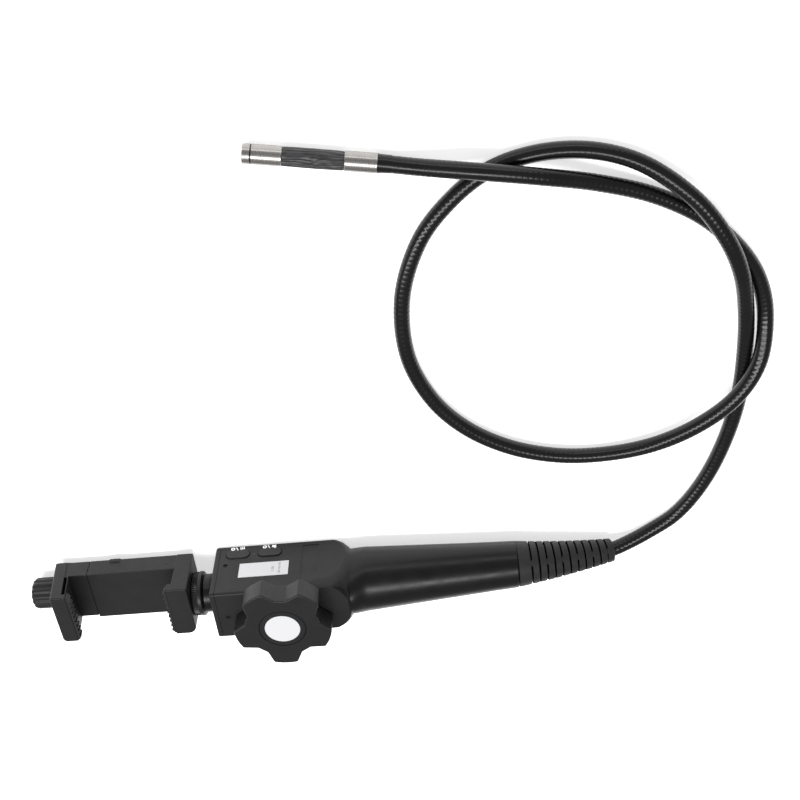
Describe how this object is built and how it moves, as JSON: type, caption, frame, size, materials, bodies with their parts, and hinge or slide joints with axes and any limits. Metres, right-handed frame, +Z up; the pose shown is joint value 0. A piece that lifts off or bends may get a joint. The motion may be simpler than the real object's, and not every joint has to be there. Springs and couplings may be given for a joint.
{
  "type": "articulating inspection camera",
  "caption": "Hand-held inspection camera: boxed handle with a lobed steering knob, push buttons and phone clamp, a long flexible probe tube and a steel camera head that bends two ways.",
  "frame": {"origin": "where the steering knob's axis meets the flat underside of the handle box", "axes": "+Z up, out of the knob face; +X along the handle towards the phone clamp; -Y out of the button face"},
  "size_m": [0.4106, 0.286, 0.0521],
  "materials": {
    "shell_black": "fine moulded texture",
    "knob_black": "fine moulded texture",
    "clamp_black": "satin moulded",
    "rubber_black": "soft satin",
    "tube_black": "glossy sheath over a coil",
    "sheath_black": "soft pleated sleeve",
    "steel": "turned and polished",
    "brass": "turned",
    "alloy": "satin",
    "label_white": "smooth",
    "board_green": "solder resist",
    "cell_foil": "foil wrap",
    "light_clear": "clear",
    "window_glass": "clear"
  },
  "bodies": {
    "handle": {"handle_body": "shell_black", "base_cover": "shell_black", "base_screws": "steel", "end_cap": "shell_black", "end_screws": "steel", "name_label": "label_white", "status_light": "light_clear", "strain_boot": "rubber_black", "tube_anchor": "brass", "tube_root": "tube_black", "tube": "tube_black", "rear_ferrule": "steel", "ferrule_collar": "tube_black", "drum_frame": "alloy", "lower_bush": "brass", "knob_bush": "brass", "pull_wires": "steel", "signal_lead": "rubber_black", "main_board": "board_green", "wifi_module": "steel", "button_switches": "board_green", "battery": "cell_foil", "charge_board": "board_green", "charge_port": "steel", "swivel_stud": "steel", "stud_washer": "rubber_black"},
    "steering": {"steering_knob": "knob_black", "knob_cap": "knob_black", "knob_disc": "label_white", "knob_screw": "steel", "knob_shaft": "steel", "wire_drum": "alloy", "drag_washer": "steel", "shaft_clip": "steel"},
    "photo_key": {"photo_button": "knob_black"},
    "power_key": {"power_button": "knob_black"},
    "lock": {"locking_wheel": "knob_black"},
    "clamp": {"clamp_body": "clamp_black", "clamp_cover": "clamp_black", "cover_screws": "steel", "jaw_nut": "brass", "fixed_pad": "rubber_black"},
    "jaw": {"sliding_jaw": "clamp_black", "moving_pad": "rubber_black", "guide_rods": "steel"},
    "adjuster": {"adjusting_knob": "clamp_black", "lead_screw": "steel", "screw_clip": "steel"},
    "bend_1": {"link_1": "steel", "sheath_ring_1": "sheath_black"},
    "bend_2": {"link_2": "steel", "sheath_ring_2": "sheath_black"},
    "bend_3": {"link_3": "steel", "sheath_ring_3": "sheath_black"},
    "bend_4": {"link_4": "steel", "sheath_ring_4": "sheath_black"},
    "head": {"head_barrel": "steel", "front_ring": "steel", "lens_window": "window_glass", "lamp_board": "board_green"}
  },
  "joints": [
    {"name": "knob_turn", "type": "hinge", "parent": "handle", "child": "steering", "pos_m": [0, 0, 0.039], "axis": [0, 0, 1], "range_deg": [-60, 60]},
    {"name": "photo_press", "type": "slide", "parent": "handle", "child": "photo_key", "axis": [0, 1, 0], "range_m": [0, 0.0005], "stiffness_N_per_m": 600, "springref_m": -0.0005},
    {"name": "power_press", "type": "slide", "parent": "handle", "child": "power_key", "axis": [0, 1, 0], "range_m": [0, 0.0005], "stiffness_N_per_m": 600, "springref_m": -0.0005},
    {"name": "lock_turn", "type": "hinge", "parent": "handle", "child": "lock", "pos_m": [0.049, 0, 0.0195], "axis": [1, 0, 0], "range_deg": [0, 120]},
    {"name": "clamp_swivel", "type": "hinge", "parent": "handle", "child": "clamp", "pos_m": [0.0525, 0, 0.0195], "axis": [1, 0, 0], "range_deg": [-180, 180]},
    {"name": "jaw_slide", "type": "slide", "parent": "clamp", "child": "jaw", "axis": [1, 0, 0], "range_m": [0, 0.03]},
    {"name": "adjust_turn", "type": "hinge", "parent": "jaw", "child": "adjuster", "pos_m": [0.135, 0, 0.00975], "axis": [1, 0, 0], "range_deg": [0, 3601]},
    {"name": "bend_hinge_1", "type": "hinge", "parent": "handle", "child": "bend_1", "pos_m": [-0.05919, -0.24709, 0.0047], "axis": [0, 0, 1], "range_deg": [-24.1, 24.1]},
    {"name": "bend_hinge_2", "type": "hinge", "parent": "bend_1", "child": "bend_2", "pos_m": [-0.05358, -0.24808, 0.0047], "axis": [0, 0, 1], "range_deg": [-24.1, 24.1]},
    {"name": "bend_hinge_3", "type": "hinge", "parent": "bend_2", "child": "bend_3", "pos_m": [-0.04797, -0.24907, 0.0047], "axis": [0, 0, 1], "range_deg": [-24.1, 24.1]},
    {"name": "bend_hinge_4", "type": "hinge", "parent": "bend_3", "child": "bend_4", "pos_m": [-0.04235, -0.25006, 0.0047], "axis": [0, 0, 1], "range_deg": [-24.1, 24.1]},
    {"name": "bend_hinge_5", "type": "hinge", "parent": "bend_4", "child": "head", "pos_m": [-0.03674, -0.25105, 0.0047], "axis": [0, 0, 1], "range_deg": [-24.1, 24.1]}
  ],
  "couplings": [
    {"joint": "adjust_turn", "follows": "jaw_slide", "rad_per_m": 2094.4},
    {"joint": "bend_hinge_1", "follows": "knob_turn", "ratio": 0.4},
    {"joint": "bend_hinge_2", "follows": "knob_turn", "ratio": 0.4},
    {"joint": "bend_hinge_3", "follows": "knob_turn", "ratio": 0.4},
    {"joint": "bend_hinge_4", "follows": "knob_turn", "ratio": 0.4},
    {"joint": "bend_hinge_5", "follows": "knob_turn", "ratio": 0.4}
  ]
}
